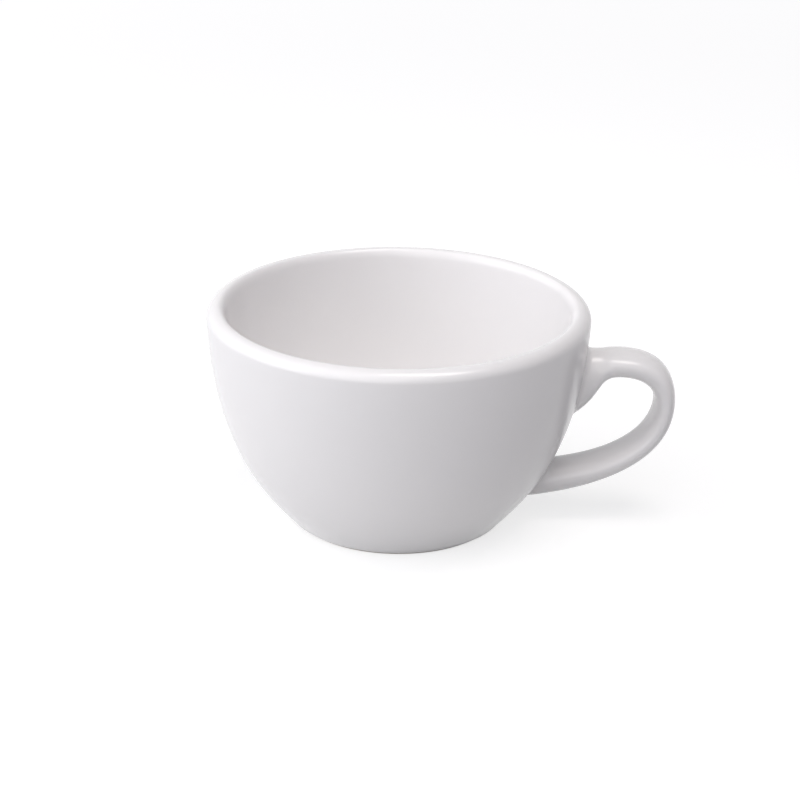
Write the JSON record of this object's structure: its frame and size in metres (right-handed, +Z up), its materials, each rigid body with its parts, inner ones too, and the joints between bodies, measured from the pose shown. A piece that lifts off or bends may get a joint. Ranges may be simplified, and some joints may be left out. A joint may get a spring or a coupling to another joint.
{
  "type": "coffee cup",
  "caption": "Thick-walled coffee cup of white glazed porcelain with a rounded lip, a bowl that narrows to a bare foot ring, and a finger loop handle.",
  "frame": {"origin": "on the table, under the middle of the cup's length from the rim to the end of the handle", "axes": "+X from the bowl towards the handle, +Z up out of the cup's mouth"},
  "size_m": [0.1208, 0.098, 0.0577],
  "materials": {
    "biscuit": "bare fired porcelain, matt, fine tooth",
    "slip": "fired slip, matt, hidden under the glaze",
    "glaze": "white glaze, satin gloss"
  },
  "bodies": {
    "root": {"cup_body": "biscuit", "handle": "biscuit", "upper_slip_joint": "slip", "lower_slip_joint": "slip", "glaze_coat": "glaze", "foot_recess_glaze": "glaze"}
  },
  "joints": []
}
